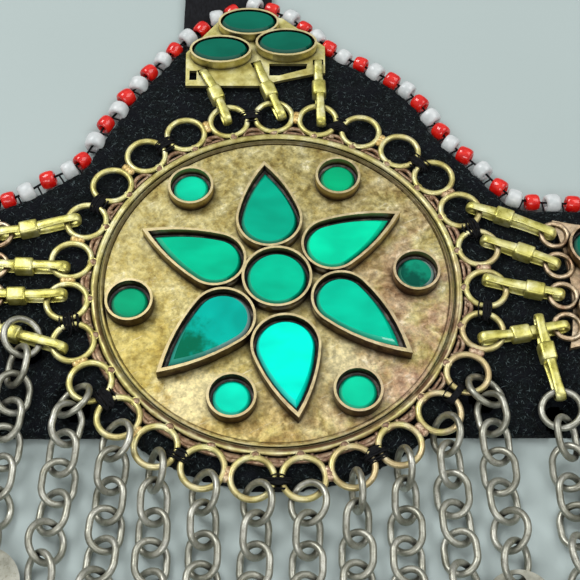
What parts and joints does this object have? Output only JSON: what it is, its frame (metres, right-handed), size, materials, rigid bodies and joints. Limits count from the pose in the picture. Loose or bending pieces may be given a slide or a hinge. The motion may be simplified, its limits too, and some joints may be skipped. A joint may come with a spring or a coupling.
{
  "type": "matha patti",
  "caption": "Forehead ornament of black felt with a jewelled brass medallion, side plates, a strap over the peak, folded brass links and a fringe of chains with discs.",
  "frame": {"origin": "on the underside of the felt, under the middle of the medallion", "axes": "+X along the band to the picture's right, +Y to the peak and the head strap, +Z out of the jewelled face"},
  "size_m": [0.168, 0.1933, 0.0073],
  "materials": {
    "felt": "matt napped wool felt",
    "strap": "matt woven cloth",
    "brass": "scratched and tarnished",
    "plate_brass": "pinkish tarnished sheet",
    "link_brass": "pale polished strip",
    "glass": "foil-backed green glass",
    "dark_glass": "foil-backed dark green glass",
    "chain_metal": "worn grey white metal"
  },
  "bodies": {
    "root": {"felt_backing": "felt", "head_strap": "strap", "medallion_mount": "brass", "peak_mount": "brass", "left_mount": "plate_brass", "right_mount": "plate_brass", "centre_stone": "glass", "petal_stone_1": "glass", "round_stone_1": "glass", "petal_stone_2": "glass", "round_stone_2": "glass", "petal_stone_3": "glass", "round_stone_3": "glass", "petal_stone_4": "glass", "round_stone_4": "glass", "petal_stone_5": "glass", "round_stone_5": "glass", "petal_stone_6": "glass", "round_stone_6": "glass", "peak_stone_1": "dark_glass", "peak_link_1": "link_brass", "peak_stone_2": "dark_glass", "peak_link_2": "link_brass", "peak_stone_3": "dark_glass", "peak_link_3": "link_brass", "left_stone_1": "dark_glass", "right_stone_1": "dark_glass", "left_link_1": "link_brass", "left_stone_2": "dark_glass", "right_stone_2": "dark_glass", "left_link_2": "link_brass", "left_stone_3": "dark_glass", "right_stone_3": "dark_glass", "left_link_3": "link_brass", "left_stone_4": "dark_glass", "right_stone_4": "dark_glass", "left_link_4": "link_brass", "right_link_1": "link_brass", "right_link_2": "link_brass", "right_link_3": "link_brass", "right_link_4": "link_brass", "right_link_5": "link_brass", "chain_1": "chain_metal", "chain_2": "chain_metal", "chain_3": "chain_metal", "chain_4": "chain_metal", "chain_5": "chain_metal", "chain_6": "chain_metal", "chain_7": "chain_metal", "chain_8": "chain_metal", "chain_9": "chain_metal", "chain_10": "chain_metal", "chain_11": "chain_metal", "chain_12": "chain_metal", "chain_13": "chain_metal", "chain_14": "chain_metal", "chain_15": "chain_metal", "chain_16": "chain_metal", "chain_17": "chain_metal", "chain_18": "chain_metal"}
  },
  "joints": []
}
